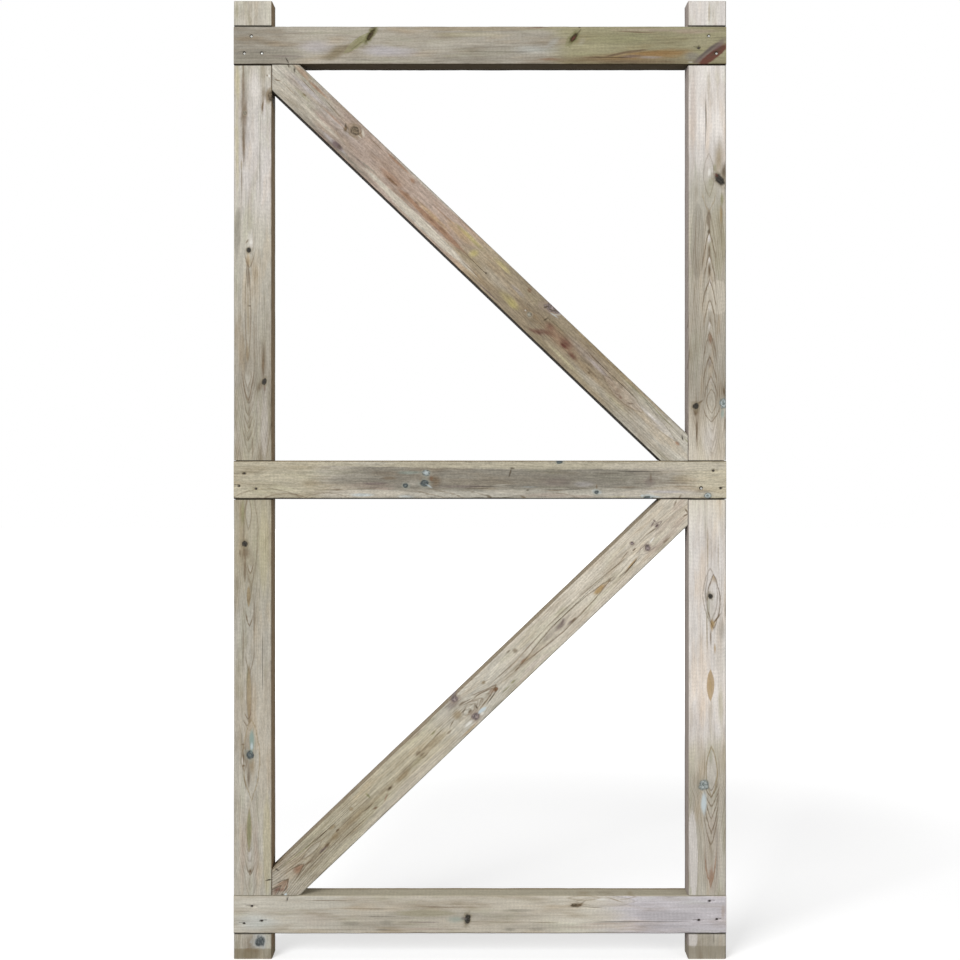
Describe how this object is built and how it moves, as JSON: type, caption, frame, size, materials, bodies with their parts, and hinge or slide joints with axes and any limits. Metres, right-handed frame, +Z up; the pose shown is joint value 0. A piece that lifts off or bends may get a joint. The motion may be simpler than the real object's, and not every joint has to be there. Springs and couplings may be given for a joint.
{
  "type": "wooden garden gate frame",
  "caption": "Tall softwood garden gate frame: two stiles with horns, rails halved across their fronts and two diagonal braces.",
  "frame": {"origin": "on the outer edge of the hanging stile, midway through its thickness, level with the foot of the stile", "axes": "+X across the gate from the hanging stile to the closing stile, +Y from the front face to the back face, +Z up"},
  "size_m": [0.9, 0.045, 1.75],
  "materials": {
    "pine_hanging_stile": "planed and pressure-treated softwood, dry and matt, with knots and a faint green cast",
    "pine_closing_stile": "planed and pressure-treated softwood, dry and matt, with knots and a faint green cast",
    "pine_top_rail": "planed and pressure-treated softwood, dry and matt, with knots and a faint green cast",
    "pine_middle_rail": "planed and pressure-treated softwood, dry and matt, with knots and a faint green cast",
    "pine_bottom_rail": "planed and pressure-treated softwood, dry and matt, with knots and a faint green cast",
    "pine_upper_brace": "planed and pressure-treated softwood, dry and matt, with knots and a faint green cast",
    "pine_lower_brace": "planed and pressure-treated softwood, dry and matt, with knots and a faint green cast",
    "nail": "bright galvanised, punched just below the surface"
  },
  "bodies": {
    "root": {"hanging_stile": "pine_hanging_stile", "closing_stile": "pine_closing_stile", "top_rail": "pine_top_rail", "middle_rail": "pine_middle_rail", "bottom_rail": "pine_bottom_rail", "upper_brace": "pine_upper_brace", "lower_brace": "pine_lower_brace"}
  },
  "joints": []
}
